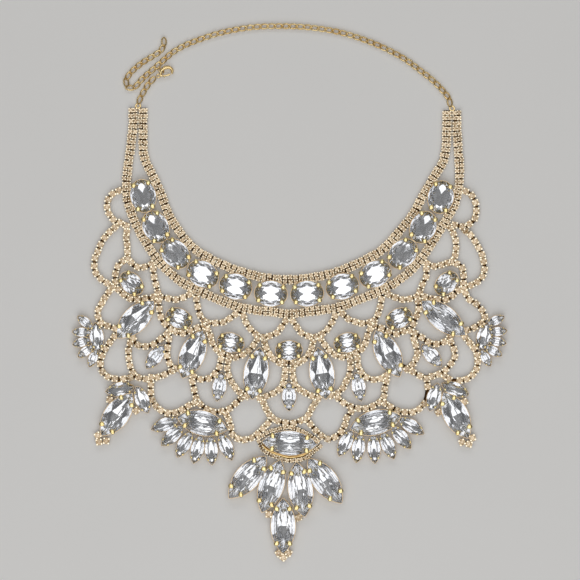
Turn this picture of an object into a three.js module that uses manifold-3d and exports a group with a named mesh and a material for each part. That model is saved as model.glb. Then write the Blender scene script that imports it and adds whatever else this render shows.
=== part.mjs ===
// A statement choker necklace in millimetres, lying flat and face up: +Z is up, +Y runs from the tip of
// the bib to the clasp, and the origin is under the middle of the whole necklace.
// The bib is one soldered brass net: rows of claw cups, closed settings and the small stones fixed in them.
// Each large crystal is a solid of its own that stands in its setting. Curb chains and a lobster clasp
// close the loop behind the neck.
import * as THREE from "three";
import { ConvexGeometry } from "three/addons/geometries/ConvexGeometry.js";
import { mergeVertices } from "three/addons/utils/BufferGeometryUtils.js";
import Module from "manifold-3d";

const wasm = await Module();
wasm.setup();

// ---------------------------------------------------------------- driving sizes

const GAP = 0.3; // clearance between two pieces that touch
const ROW = { wide: 3.1, high: 2.6, step: 4.8 }; // one row of claw cups
const PAIR = { wide: 4.6, high: 2, step: 8 }; // two rows of smaller cups, soldered side by side
const HALO = { wide: 2.2, high: 2, step: 4 }; // one row of the smaller cups
const SEAT_HIGH = 2.6; // a closed setting under a large stone
const SEAT_RIM = 0.45; // how far a setting shows round its stone
const GIRDLE_RISE = 0.8; // from the foot of a large stone to its widest level
const STONE_SHAPE = { foot: 0.86, table: 0.58 }; // a large stone's foot and table, as shares of its girdle
const SMALL_SHAPE = { foot: 0.92, table: 0.5 }; // the same for a small stone with its setting
const SOLDER = { radius: 1.2, high: 1.6 }; // a spot of solder
const CHAIN = { wide: 2.9, high: 1.6, sides: 8 }; // a curb chain, over its links
const WELD = 0.004; // joined solids lose edges shorter than this

// The cuts of the stones. crown is the height from the girdle to the flat table on top.
const CUTS = {
  collar_oval: { form: "oval", long: 15.6, wide: 12.3, corners: 12, crown: 2.7 },
  small_oval: { form: "oval", long: 12.8, wide: 9.2, corners: 10, crown: 2.1 },
  bib_navette: { form: "navette", long: 25, wide: 11.6, corners: 10, crown: 2.7 },
  drop_navette: { form: "navette", long: 26.6, wide: 11.6, corners: 10, crown: 2.7 },
  net_navette: { form: "navette", long: 14, wide: 6.6, corners: 8, crown: 1.6 },
  fan_navette: { form: "navette", long: 14.2, wide: 6.2, corners: 8, crown: 1.6 },
  wing_navette: { form: "navette", long: 9.2, wide: 4.3, corners: 8, crown: 1.3 },
};

// ---------------------------------------------------------------- the layout
// The bib is laid out by halves, in mm: out is the distance from the middle line, up is the height above
// the level of the collar, and turn is the angle of the long axis from outward towards upward, in degrees.
// The left half is the pattern. The net is limp, so the right half lies a little differently.

// The large stones, each a piece of its own.
const LEFT_STONES = [
  { name: "collar_oval_1", cut: "collar_oval", out: 70, up: 44.2, turn: 79 },
  { name: "collar_oval_2", cut: "collar_oval", out: 64, up: 29.3, turn: 64 },
  { name: "collar_oval_3", cut: "collar_oval", out: 54.6, up: 16.5, turn: 46 },
  { name: "collar_oval_4", cut: "collar_oval", out: 41.4, up: 6.7, turn: 29 },
  { name: "collar_oval_5", cut: "collar_oval", out: 25.6, up: 0.7, turn: 15 },
  { name: "collar_oval_6", cut: "collar_oval", out: 8.7, up: -2.7, turn: 5 },
  { name: "small_oval_1", cut: "small_oval", out: 75.6, up: 2.2, turn: 45 },
  { name: "small_oval_2", cut: "small_oval", out: 52.8, up: -14.6, turn: 25 },
  { name: "small_oval_3", cut: "small_oval", out: 28, up: -26.3, turn: 12 },
  { name: "bib_navette_1", cut: "bib_navette", out: 73.7, up: -15, turn: -45 },
  { name: "bib_navette_2", cut: "bib_navette", out: 46.3, up: -31.7, turn: -67 },
  { name: "bib_navette_3", cut: "bib_navette", out: 15.8, up: -41, turn: -81 },
  { name: "net_navette_1", cut: "net_navette", out: 64.2, up: -33, turn: -53 },
  { name: "net_navette_2", cut: "net_navette", out: 33.4, up: -47.4, turn: -80 },
  { name: "fan_centre", cut: "bib_navette", out: 41.6, up: -64.8, turn: 14 },
  { name: "side_drop", cut: "bib_navette", out: 82.6, up: -60.7, turn: -54 },
];
// The ones that lie otherwise on the right.
const RIGHT_STONES = {
  bib_navette_1: { cut: "drop_navette", out: 74.1, up: -14.4, turn: -38 },
  bib_navette_2: { cut: "bib_navette", out: 47.4, up: -31.4, turn: -63 },
  net_navette_1: { cut: "net_navette", out: 68.5, up: -32.4, turn: -49 },
  fan_centre: { cut: "bib_navette", out: 41.5, up: -64.5, turn: 14 },
  side_drop: { cut: "bib_navette", out: 80.1, up: -61, turn: -62 },
};
const MIDDLE_STONES = [
  { name: "middle_oval", cut: "small_oval", out: 0, up: -30, turn: 0 },
  { name: "middle_navette", cut: "net_navette", out: 0, up: -52, turn: 90 },
];

// The small stones, which are fixed in the net for good.
const LEFT_SMALL_STONES = [
  // the fan under the bottom navette
  { cut: "fan_navette", out: 59.5, up: -65.5, turn: -20 },
  { cut: "fan_navette", out: 56, up: -70.9, turn: -43 },
  { cut: "fan_navette", out: 50.3, up: -75.1, turn: -61 },
  { cut: "fan_navette", out: 44, up: -77.4, turn: -75 },
  { cut: "fan_navette", out: 37.3, up: -77.9, turn: -93 },
  { cut: "fan_navette", out: 30.2, up: -76.2, turn: -114 },
  // the wing at the side
  { cut: "net_navette", out: 92.3, up: -23.6, turn: 84 },
  { cut: "wing_navette", out: 97.9, up: -16.3, turn: 39 },
  { cut: "wing_navette", out: 99.6, up: -21.2, turn: 2 },
  { cut: "wing_navette", out: 99.6, up: -26, turn: -17 },
  { cut: "wing_navette", out: 97.7, up: -30.4, turn: -38 },
  { cut: "wing_navette", out: 94.1, up: -33.7, turn: -68 },
  // the pair over the side drop
  { cut: "net_navette", out: 81.2, up: -48.6, turn: -10 },
  { cut: "net_navette", out: 70.5, up: -53.6, turn: 67 },
];
const RIGHT_SMALL_STONES = [
  { cut: "fan_navette", out: 58.7, up: -66.3, turn: -32 },
  { cut: "fan_navette", out: 53.9, up: -71.7, turn: -50 },
  { cut: "fan_navette", out: 47.5, up: -75.6, turn: -65 },
  { cut: "fan_navette", out: 40.8, up: -77.2, turn: -86 },
  { cut: "fan_navette", out: 33.3, up: -76.9, turn: -98 },
  { cut: "fan_navette", out: 27.1, up: -74.5, turn: -117 },
  { cut: "net_navette", out: 93.5, up: -23.4, turn: 75 },
  { cut: "wing_navette", out: 99.2, up: -15.6, turn: 25 },
  { cut: "wing_navette", out: 100.2, up: -20.9, turn: 6 },
  { cut: "wing_navette", out: 99.9, up: -25.7, turn: -12 },
  { cut: "wing_navette", out: 98.2, up: -30.2, turn: -30 },
  { cut: "wing_navette", out: 94.4, up: -33.6, turn: -60 },
  { cut: "net_navette", out: 79.8, up: -48.6, turn: -22 },
  { cut: "net_navette", out: 69.6, up: -52.4, turn: 74 },
];

// Single claw cups, one row wide.
const LEFT_CUPS = [
  { out: 73.5, up: -59.2, turn: 45 },
  { out: 86, up: -53.5, turn: 10 },
  { out: 91.9, up: -70.9, turn: -30 },
  { out: 91.2, up: -74, turn: -15 },
  { out: 87.8, up: -73.4, turn: 10 },
];
const RIGHT_CUPS = [
  { out: 71.6, up: -59.7, turn: 30 },
  { out: 84.4, up: -54.6, turn: 35 },
  { out: 88.2, up: -72.2, turn: 20 },
  { out: 86.3, up: -75, turn: -15 },
  { out: 83.2, up: -74, turn: 30 },
];

// Solder under the net, where a setting meets its neighbour.
const LEFT_SOLDER = [
  { out: 90.1, up: -28.8 },
  { out: 92.2, up: -17.6 },
  { out: 81.4, up: -45.6 },
];
const RIGHT_SOLDER = [
  { out: 90.6, up: -27.8 },
  { out: 93.3, up: -17 },
];

// The rows of claw cups. Each route runs through its points, [out, up].
const LEFT_ROWS = {
  ear_loop: [[79, 48], [85, 45], [87.5, 39.5], [85, 33.5], [78, 30]],
  side_loop: [[82.5, 30.5], [89, 23.5], [93, 14.5], [93.5, 8.5], [90, 4], [84.5, 0.5]],
  inner_strand: [[78, 30], [78, 22], [77.5, 14]],
  collar_tie: [[77.5, 14], [74, 10.5], [69.5, 10], [64.5, 12.5]],
  oval_hook: [[77.5, 14], [81.5, 11.5], [83.5, 6.5], [83, 1]],
  shelf: [
    [84.5, 1], [80.5, -2], [75.5, -5.5], [68.5, -5], [62.5, -4], [56, -5.5], [50.5, -4.5], [44.5, -1.5],
  ],
  long_strand: [[65, 12.5], [65, 5.5], [63, -1.5], [62.5, -8.5], [61, -15.5], [57, -20]],
  oval_shelf: [[57, -20], [51.5, -22], [46, -20], [40.5, -18]],
  hammock: [[57, -20], [61.5, -24.5], [68, -28], [73, -27], [75.5, -23.5]],
  column: [[57, -20], [58, -27.5], [58.5, -33], [56.5, -37.5], [51.5, -39]],
  collar_swag: [[44.5, -1.5], [44, -8], [41.5, -15], [35.5, -17], [29, -15], [23.5, -10.5]],
  centre_swag: [[23.5, -10.5], [20, -17.5], [15.5, -22.5], [11, -23.5], [6, -21.5], [2.5, -17], [0, -12.5]],
  second_swag: [[40.5, -18], [38, -22], [36, -28], [31.5, -32], [24.5, -33], [18.5, -29], [14.5, -23.5]],
  outer_leg: [[47, -42], [42.5, -44], [37.5, -43], [34, -39], [32.5, -33]],
  inner_leg: [[29, -33], [29.5, -39.5], [27.5, -45], [24.5, -49.5], [20, -52]],
  bottom_swag: [
    [47, -42], [46, -47.5], [44, -54], [39.5, -58], [33.5, -59.5], [28, -57.5], [24, -54], [20, -49.5],
  ],
  round_loop: [[66, -43], [66.5, -49.5], [65, -55], [60.5, -59.5], [54, -59.5], [49, -57], [44, -54.5]],
  pocket: [
    [75.5, -24], [77, -30], [76.5, -37], [73.5, -42], [67.5, -44], [62, -42.5], [56.5, -40], [51.5, -39],
  ],
  upper_loop: [[84.5, 1], [89, -5.5], [92, -12], [90, -17], [81.5, -20]],
  lower_loop: [[81.5, -20], [85.5, -25.5], [89.5, -32], [90.5, -37.5], [88, -42], [81.5, -44], [73.5, -42]],
  centre_leg: [[2, -35.5], [1.9, -42], [3.4, -47.1], [7.7, -50.5], [14, -53]],
  drop_swag: [[31, -59], [28.5, -65], [27, -70.5], [22, -73], [17, -71.5], [12, -67], [8, -62.5]],
};
// The ones that lie otherwise on the right.
const RIGHT_ROWS = {
  ear_loop: [[82, 47.6], [86.5, 45.6], [89.3, 41.5], [90, 36.8], [88.7, 32.4], [85, 29.8], [79.5, 30.2]],
  side_loop: [
    [83.5, 28.8], [87.9, 24.6], [91.4, 19.1], [93.4, 13.5], [93.8, 8.5], [92.2, 4.4], [88.5, 1.7], [84, 0],
  ],
  inner_strand: [[77.5, 29], [79.8, 24], [80.3, 19.7], [79.8, 15.5], [78.5, 12.7]],
  collar_tie: [[78.5, 12.7], [75.1, 11.5], [70, 10.4], [65, 12.5]],
  oval_hook: [[78.5, 12.7], [82.6, 10.4], [83.8, 6], [84, 0.5]],
  long_strand: [[65.5, 12.5], [66, 6], [63.3, 0], [61.8, -5.5], [62.2, -11], [60.3, -16], [58, -20.5]],
  hammock: [[58, -20.5], [62, -22.8], [66.5, -25.6], [70.5, -26.9], [74.5, -25.9], [77.5, -23.5]],
  column: [[58.5, -20.5], [60.8, -26.5], [61.8, -31.5], [60.3, -35.5], [56.5, -38.8]],
  bottom_swag: [
    [47.5, -41.5], [46.3, -47], [45.4, -52.3], [41.5, -56.2], [36.5, -57.8], [31, -57.4], [26, -55], [22, -51],
  ],
  pocket: [
    [77, -24], [78.9, -28.5], [79.5, -33], [77.3, -37.3], [72.8, -41], [67, -42.8], [61, -41.3], [56, -38],
    [52, -37],
  ],
  upper_loop: [[84, 0.5], [85.8, -4.5], [89.7, -7.6], [93.2, -11.3], [93.7, -15.5], [89.5, -18.6], [82.5, -21]],
  lower_loop: [
    [82.5, -21], [86, -25.5], [89.6, -30.2], [90.6, -35.5], [89, -41], [84, -44.3], [78, -44.2], [73, -41.2],
  ],
  drop_swag: [
    [31, -57.5], [28.2, -61.8], [26.4, -66.3], [23.8, -70.4], [19.5, -72.5], [15.5, -70.8], [11.5, -66.8],
    [8, -62.8],
  ],
};
// Rows that run on through the middle line.
const MIDDLE_ROWS = {
  centre_saddle: [[12, -23.5], [11, -28.5], [8, -33.5], [4, -36], [0, -36]],
  bottom_loop: [[14, -52], [12, -56], [9, -61.5], [5, -64], [0, -65]],
};
// The collar and its straps: two double rows, from the end of the strap to the middle.
const COLLAR_PAIRS = {
  neck_pair: [
    [70.2, 86.6], [70.2, 73.5], [70, 66], [69, 61], [66.5, 56], [64, 51], [61, 44], [59, 38], [56, 32],
    [53, 27.5], [49.5, 23], [45, 18.5], [39.5, 15], [32.5, 11.5], [25, 8.5], [16.5, 6], [8, 4.5], [0, 4],
  ],
  bib_pair: [
    [74.9, 86.6], [75, 77], [76, 68.5], [77.5, 57.5], [78, 49], [77.5, 42], [75.5, 35.5], [73, 29.5],
    [68.5, 21.5], [63.5, 14], [57.5, 7.5], [51, 2.5], [42.5, -2], [34, -5.5], [24.5, -9], [17, -10.5],
    [8.5, -11.5], [0, -12.5],
  ],
};
const STRAP_BLOCK = { out: 72.55, top: 87, foot: 76.5, wide: 9.6 }; // the four rows as one, at the strap's end
const STRAP_LUG = { wide: 1.6, long: 1.6, root: 1, high: 1.2 }; // carries the chain, its root inside the block

// The right strap lies further out than the left one, and a little lower.
const RIGHT_STRAP = { foot: 27, top: 87, out: 5.8, down: 1.2 };

// The drop under the middle, which leans a little to the left. turn is from +X.
const DROP_STONES = [
  { name: "drop_crossbar", x: 0.3, y: -74.4, turn: -3 },
  { name: "drop_outer_left", x: -19.9, y: -90.8, turn: 48.5 },
  { name: "drop_inner_left", x: -8.5, y: -95.1, turn: 70.5 },
  { name: "drop_inner_right", x: 5.5, y: -96.7, turn: -81.5 },
  { name: "drop_outer_right", x: 17.3, y: -92.5, turn: -53.5 },
  { name: "drop_tip", x: -2.8, y: -114.2, turn: 90 },
];
const DROP_HALO = [
  [[-14.5, -72], [-8, -68.5], [0, -67], [7, -69], [14, -73.5]],
  [[-15, -72.7], [-12, -78], [-6.5, -81], [0.5, -83], [8, -81.5], [15, -76]],
];
const DROP_CUPS = [
  { x: -9.6, y: -108.8, turn: 0 },
  { x: 4.5, y: -110.2, turn: 25 },
  { x: -5.2, y: -127.3, turn: 30 },
  { x: -0.4, y: -127.3, turn: 60 },
  { x: -2.8, y: -129.7, turn: 45 },
];
const DROP_SOLDER = [{ x: 5.8, y: -108.8 }];

// The chains, [x, y], and the length of a step along each tube.
const CHAIN_STEP = { long: 7, tail: 2.8, short: 5 };
const LONG_CHAIN = [
  [77.5, 87.6], [76.8, 91], [73.5, 95.3], [68.5, 100.3], [63, 104.6], [56, 109.8], [49.5, 113.5], [42, 117],
  [33, 120.4], [23.5, 123.1], [14, 124.8], [4.5, 125.8], [-5.5, 126], [-15, 125.7], [-24.5, 124.4],
  [-34.5, 122.2], [-42.5, 119.6], [-50.5, 116.4], [-56.5, 112.8], [-60, 109.7], [-63.4, 106.8],
];
const EXTENDER_TAIL = [
  [-64.5, 105.8], [-66.9, 103.7], [-71, 100], [-74, 96.8], [-77, 96.4], [-78.3, 99.8], [-75.6, 103.9],
  [-70.6, 108.2], [-65.5, 111.4], [-61.6, 114.2], [-60.2, 117.3], [-60.2, 120.3],
];
const SHORT_CHAIN = [[-72.4, 88.9], [-71.3, 91.5], [-69.7, 94.5], [-67.6, 97.8], [-64.3, 101.3]];

// The lobster clasp lies on its side. Its own axis runs from the centre of its eye to its far end.
const CLASP = { x: -62.8, y: 101.9, turn: 14, low: 0.1, high: 2.6, eye: 1.15, hole: 0.5 };
const CLASP_WIRE = { low: 0.85, high: 1.85 };
const CLASP_BACK = {
  wide: 1.1,
  step: 1.2,
  route: [[0.9, 0.2], [1.5, 1.3], [2.5, 2.4], [4, 3], [5.8, 2.8], [7, 1.7], [7.1, 0.5], [6.5, -0.5]],
};
const CLASP_NECK = { wide: 1.4, step: 2, route: [[0.8, 0], [1.6, -0.3]] };
const LEVER_PIVOT = { x: 2, y: -0.55 };
const LEVER = { wide: 0.8, step: 1, route: [[0.05, 0], [2, -0.2], [3.7, -0.05]] };
const LEVER_TAB = { wide: 0.6, step: 2, route: [[0.7, 0], [0.7, -1]] };
const HOOKED_LINK = { x: -61.6, y: 104.5, turn: -33, long: 4, high: 2.9, wire: 0.6 };

// ---------------------------------------------------------------- materials

const BRASS = new THREE.MeshStandardMaterial({ color: 0xd8bd86, roughness: 0.3, metalness: 1 });
const GOLD = new THREE.MeshStandardMaterial({ color: 0xd9ad5c, roughness: 0.25, metalness: 1 });
const CRYSTAL = new THREE.MeshStandardMaterial({ color: 0xe9eef2, roughness: 0.05, metalness: 0 });

// ---------------------------------------------------------------- shapes

const radians = THREE.MathUtils.degToRad;

// A closed geometry as a manifold-3d solid.
function solid(geometry) {
  geometry.deleteAttribute("normal");
  geometry.deleteAttribute("uv");
  const merged = mergeVertices(geometry, 1e-4);
  const mesh = new wasm.Mesh({
    numProp: 3,
    vertProperties: merged.attributes.position.array,
    triVerts: new Uint32Array(merged.index.array),
  });
  return new wasm.Manifold(mesh);
}

// A manifold-3d solid as a geometry.
function geometryOf(made) {
  const { vertProperties, triVerts } = made.simplify(WELD).getMesh();
  const geometry = new THREE.BufferGeometry();
  geometry.setAttribute("position", new THREE.BufferAttribute(vertProperties, 3));
  geometry.setIndex(new THREE.BufferAttribute(triVerts, 1));
  geometry.computeVertexNormals();
  return geometry;
}

function join(solids) {
  return solids.reduce((whole, next) => whole.add(next));
}

function curveThrough(route, height) {
  return new THREE.CatmullRomCurve3(route.map(([x, y]) => new THREE.Vector3(x, y, height)));
}

// A flat bar of rectangular section along a route in the plane, from one height to another.
function bar(route, wide, low, high, step) {
  const curve = curveThrough(route, (low + high) / 2);
  const half = (high - low) / 2;
  const section = new THREE.Shape([
    new THREE.Vector2(-half, -wide / 2),
    new THREE.Vector2(half, -wide / 2),
    new THREE.Vector2(half, wide / 2),
    new THREE.Vector2(-half, wide / 2),
  ]);
  const steps = Math.max(1, Math.round(curve.getLength() / step));
  return new THREE.ExtrudeGeometry(section, { steps, extrudePath: curve });
}

// The outline of a stone about its own middle, its long axis along +X.
function outline({ form, long, wide, corners }, margin = 0) {
  const a = long / 2 + margin;
  const b = wide / 2 + margin;
  if (form === "oval") {
    return Array.from({ length: corners }, (_, i) => {
      const angle = (2 * Math.PI * i) / corners;
      return [a * Math.cos(angle), b * Math.sin(angle)];
    });
  }
  // A navette is two equal arcs that meet in a point at each end.
  const radius = (a * a + b * b) / (2 * b);
  const reach = Math.asin(a / radius);
  const half = corners / 2;
  return Array.from({ length: corners }, (_, i) => {
    const side = i < half ? 1 : -1;
    const angle = reach * (1 - (2 * (i % half)) / half);
    return [side * radius * Math.sin(angle), side * (radius * Math.cos(angle) - radius + b)];
  });
}

// A convex solid through one outline at several levels, each [height, scale of the outline].
function layered(points, levels) {
  const corners = levels.flatMap(([height, scale]) =>
    points.map(([x, y]) => new THREE.Vector3(x * scale, y * scale, height)),
  );
  return new ConvexGeometry(corners);
}

function turned(geometry, x, y, turn) {
  return geometry.rotateZ(radians(turn)).translate(x, y, 0);
}

// The share of the right strap's own offset at a height on it.
function strapShare(up) {
  const rise = THREE.MathUtils.clamp((up - RIGHT_STRAP.foot) / (RIGHT_STRAP.top - RIGHT_STRAP.foot), 0, 1);
  return 1 - (1 - rise) ** 2;
}

// A point of the half layout, on the left side (-1) or the right (1).
function placed(side, out, up) {
  if (side < 0) return [-out, up];
  return [out + RIGHT_STRAP.out * strapShare(up), up - RIGHT_STRAP.down * strapShare(up)];
}

function placedRoute(side, route) {
  return route.map(([out, up]) => placed(side, out, up));
}

// A row's own route on the right, or the left one's mirror image.
function rightRoute(name) {
  return RIGHT_ROWS[name] ?? placedRoute(1, LEFT_ROWS[name]);
}

// A half route on both sides as one, from left to right.
function acrossMiddle(route) {
  return [...placedRoute(-1, route), ...placedRoute(1, route).reverse().slice(1)];
}

// A row of the half layout, with its place and turn on one side.
function onSide(side, row) {
  const [x, y] = placed(side, row.out, row.up);
  return { ...row, x, y, turn: side < 0 ? 180 - row.turn : row.turn };
}

// The rows of a left and a right table, each on its own side.
function bothSides(left, right) {
  return [...left.map((row) => onSide(-1, row)), ...right.map((row) => onSide(1, row))];
}

// ---------------------------------------------------------------- the soldered net

function rowOfCups(route, size) {
  return solid(bar(route, size.wide, 0, size.high, size.step));
}

function clawCup({ x, y, turn }) {
  const cup = new THREE.BoxGeometry(ROW.wide, ROW.wide, ROW.high).translate(0, 0, ROW.high / 2);
  return solid(turned(cup, x, y, turn));
}

function solder({ x, y }) {
  const drop = new THREE.CylinderGeometry(SOLDER.radius, SOLDER.radius, SOLDER.high, 6);
  return solid(drop.rotateX(Math.PI / 2).translate(x, y, SOLDER.high / 2));
}

function setting({ cut, x, y, turn }) {
  const points = outline(CUTS[cut], SEAT_RIM);
  return solid(turned(layered(points, [[0, 1], [SEAT_HIGH, 1]]), x, y, turn));
}

// A small stone with its setting: the cup widens to the girdle, and the crown narrows to the table.
function smallStone({ cut, x, y, turn }) {
  const size = CUTS[cut];
  const girdle = SEAT_HIGH + GAP;
  const levels = [[0, SMALL_SHAPE.foot], [girdle, 1], [girdle + size.crown, SMALL_SHAPE.table]];
  return solid(turned(layered(outline(size), levels), x, y, turn));
}

function strapBlock(side) {
  const { out, top, foot, wide } = STRAP_BLOCK;
  const [x, y] = placed(side, out, top);
  const block = [[x, y], placed(side, out, foot)];
  const lug = [[x, y + STRAP_LUG.long], [x, y - STRAP_LUG.root]];
  return [rowOfCups(block, { ...PAIR, wide }), rowOfCups(lug, { ...PAIR, ...STRAP_LUG })];
}

const rightStones = LEFT_STONES.map((row) => ({ ...row, ...RIGHT_STONES[row.name] }));
const largeStones = [
  ...LEFT_STONES.map((row) => ({ ...onSide(-1, row), name: `${row.name}_left` })),
  ...rightStones.map((row) => ({ ...onSide(1, row), name: `${row.name}_right` })),
  ...MIDDLE_STONES.map((row) => onSide(1, row)),
  ...DROP_STONES.map((row) => ({ ...row, cut: "drop_navette" })),
];

const net = join([
  ...Object.values(COLLAR_PAIRS).map((route) => rowOfCups(acrossMiddle(route), PAIR)),
  ...strapBlock(-1),
  ...strapBlock(1),
  ...Object.values(LEFT_ROWS).map((route) => rowOfCups(placedRoute(-1, route), ROW)),
  ...Object.keys(LEFT_ROWS).map((name) => rowOfCups(rightRoute(name), ROW)),
  ...Object.values(MIDDLE_ROWS).map((route) => rowOfCups(acrossMiddle(route), ROW)),
  ...DROP_HALO.map((route) => rowOfCups(route, HALO)),
  ...largeStones.map(setting),
  ...bothSides(LEFT_SMALL_STONES, RIGHT_SMALL_STONES).map(smallStone),
  ...[...bothSides(LEFT_CUPS, RIGHT_CUPS), ...DROP_CUPS].map(clawCup),
  ...[...bothSides(LEFT_SOLDER, RIGHT_SOLDER), ...DROP_SOLDER].map(solder),
]);

// ---------------------------------------------------------------- the loose pieces

// The foot stands a gap above the setting, the girdle is the widest level, and the table is flat.
function largeStone({ name, cut, x, y, turn }) {
  const size = CUTS[cut];
  const levels = [[0, STONE_SHAPE.foot], [GIRDLE_RISE, 1], [GIRDLE_RISE + size.crown, STONE_SHAPE.table]];
  const mesh = new THREE.Mesh(layered(outline(size), levels), CRYSTAL);
  mesh.name = name;
  mesh.position.set(x, y, SEAT_HIGH + GAP);
  mesh.rotation.z = radians(turn);
  return mesh;
}

// A curb chain as one flat tube along its route.
function chain(name, route, step) {
  const curve = curveThrough(route, CHAIN.high / 2);
  const section = new THREE.Shape(
    Array.from({ length: CHAIN.sides }, (_, i) => {
      const angle = (2 * Math.PI * (i + 0.5)) / CHAIN.sides;
      return new THREE.Vector2((CHAIN.high / 2) * Math.cos(angle), (CHAIN.wide / 2) * Math.sin(angle));
    }),
  );
  const steps = Math.round(curve.getLength() / step);
  const mesh = new THREE.Mesh(new THREE.ExtrudeGeometry(section, { steps, extrudePath: curve }), GOLD);
  mesh.name = name;
  return mesh;
}

// The eye of the clasp, which takes the last link of the short chain.
function claspEye() {
  const face = new THREE.Shape().absarc(0, 0, CLASP.eye, 0, 2 * Math.PI);
  face.holes.push(new THREE.Path().absarc(0, 0, CLASP.hole, 0, 2 * Math.PI));
  const depth = CLASP.high - CLASP.low;
  const eye = new THREE.ExtrudeGeometry(face, { depth, bevelEnabled: false, curveSegments: 5 });
  return solid(eye.translate(0, 0, CLASP.low));
}

function claspArm({ route, wide, step }, { low, high }) {
  return solid(bar(route, wide, low, high, step));
}

function clasp() {
  const body = join([claspEye(), claspArm(CLASP_NECK, CLASP), claspArm(CLASP_BACK, CLASP_WIRE)]);
  const bodyMesh = new THREE.Mesh(geometryOf(body), GOLD);
  bodyMesh.name = "clasp_body";

  const lever = join([claspArm(LEVER, CLASP_WIRE), claspArm(LEVER_TAB, CLASP_WIRE)]);
  const leverMesh = new THREE.Mesh(geometryOf(lever), GOLD);
  leverMesh.name = "clasp_lever";
  leverMesh.position.set(LEVER_PIVOT.x, LEVER_PIVOT.y, 0);

  const group = new THREE.Group();
  group.position.set(CLASP.x, CLASP.y, 0);
  group.rotation.z = radians(CLASP.turn);
  group.add(bodyMesh, leverMesh);
  return group;
}

// The link that the clasp holds stands on edge: an oval ring with an oval hole.
function hookedLink() {
  const { long, high, wire } = HOOKED_LINK;
  const oval = (margin) => [0, 0, long / 2 - margin, high / 2 - margin, 0, 2 * Math.PI];
  const face = new THREE.Shape().absellipse(...oval(0));
  face.holes.push(new THREE.Path().absellipse(...oval(wire)));
  const geometry = new THREE.ExtrudeGeometry(face, { depth: wire, bevelEnabled: false, curveSegments: 6 });
  const mesh = new THREE.Mesh(geometry.translate(0, 0, -wire / 2).rotateX(Math.PI / 2), GOLD);
  mesh.name = "hooked_link";
  mesh.position.set(HOOKED_LINK.x, HOOKED_LINK.y, high / 2);
  mesh.rotation.z = radians(HOOKED_LINK.turn);
  return mesh;
}

// ---------------------------------------------------------------- the necklace

const netMesh = new THREE.Mesh(geometryOf(net), BRASS);
netMesh.name = "soldered_net";

const necklace = new THREE.Group();
necklace.name = "statement_necklace";
necklace.add(
  netMesh,
  ...largeStones.map(largeStone),
  chain("long_chain", LONG_CHAIN, CHAIN_STEP.long),
  chain("extender_tail", EXTENDER_TAIL, CHAIN_STEP.tail),
  chain("short_chain", SHORT_CHAIN, CHAIN_STEP.short),
  hookedLink(),
  clasp(),
);

// The origin goes under the middle of the whole necklace.
const middle = new THREE.Box3().setFromObject(necklace, true).getCenter(new THREE.Vector3());
necklace.position.set(-middle.x, -middle.y, 0);

export default necklace;
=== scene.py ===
"""The looks of a statement choker necklace: claw cups, faceted crystals, curb chains and a lobster clasp."""

import math
import random
from collections import namedtuple

import bpy
from bpy.props import FloatProperty, FloatVectorProperty, PointerProperty
from mathutils import Matrix, Vector


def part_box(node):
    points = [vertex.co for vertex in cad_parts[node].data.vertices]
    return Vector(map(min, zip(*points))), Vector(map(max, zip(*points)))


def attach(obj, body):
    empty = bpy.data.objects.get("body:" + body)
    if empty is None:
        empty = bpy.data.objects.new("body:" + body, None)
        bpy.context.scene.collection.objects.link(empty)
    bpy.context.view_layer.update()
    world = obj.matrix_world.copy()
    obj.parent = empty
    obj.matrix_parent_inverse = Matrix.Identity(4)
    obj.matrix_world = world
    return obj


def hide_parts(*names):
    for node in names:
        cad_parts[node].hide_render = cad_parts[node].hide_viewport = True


bl_info = {
    "name": "Statement choker necklace",
    "version": (1, 0, 0),
    "blender": (4, 5, 0),
    "location": "3D View > Sidebar > Necklace",
    "description": "Makes a crystal bib necklace piece by piece round its frame",
    "category": "Add Mesh",
}

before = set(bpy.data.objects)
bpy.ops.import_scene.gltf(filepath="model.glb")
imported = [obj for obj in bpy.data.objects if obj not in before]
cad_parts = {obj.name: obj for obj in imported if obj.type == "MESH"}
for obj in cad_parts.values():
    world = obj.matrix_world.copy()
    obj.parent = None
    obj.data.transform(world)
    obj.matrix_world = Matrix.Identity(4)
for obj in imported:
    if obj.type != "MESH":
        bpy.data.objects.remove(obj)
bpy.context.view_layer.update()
MM = 0.001

# -------- sizes of the metal and the stones, in mm

SEAT_RIM = 0.25  # how far a large setting shows round its stone
SMALL_RIM = 0.15
WIDE_STONE = 8  # a stone wider than this has the large rim, and larger claws for its width
WIDE_CLAW, NARROW_CLAW = 10, 14  # the width at which the claws of either would be full size
SEAT_FLOOR = 0.35
GIRDLE = 3.7  # the widest level of a large stone, above the surface
SMALL_GIRDLE = 2.9  # the same for a small stone
GIRDLE_THICK = 0.16
CULET = 0.75  # the lowest point of a large stone, down in its setting
SMALL_CULET = 0.7
OVAL_CLAWS, NAVETTE_CLAWS = (0.22, 0.78), (-0.6, 0.6)  # where along each side of a stone its claws are
PAIR_SPREAD = 1.14  # from the middle of a double row to each of its strands
PAIR_HIGH = 2  # a cup of a double row, without its claws' tips
ROW_HIGH = 2.6  # and of a single row
LINK_WIRE = 0.78
LINK_WIDE = 2.95
LINK_LEVEL = 1.0  # the middle of the lying chains
LINK_TWIST = 62  # from one end of a link to the other, in degrees
LINK_CORNER = 0.75  # the lower, the squarer a link is
# How far a strand's new cups stay from the middles of the cups in place, and from the stones.
HALO_ROOM, ROW_ROOM = (1.5, 0.9), (2.3, 1.2)
PAIR_BACK, ROW_BACK = 3.4, 2  # how wide the strips under the rows are
BACK_THICK, BACK_LEVEL = 0.8, 0.45  # and how thick, and the level of their middle
BAND_LEVEL = 1.3  # the same for the solder inside the halo
CUP_LEAN = 7  # how far a cup may be out of true, in degrees
CUP_LIFT = 0.18
CUP_WALL = 0.66  # how far up a cup its wall reaches
CUP_STONE_STEEP = 38.5  # the slope of a cup stone's back, in degrees
SOLDER_RADIUS = 1.2

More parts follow.
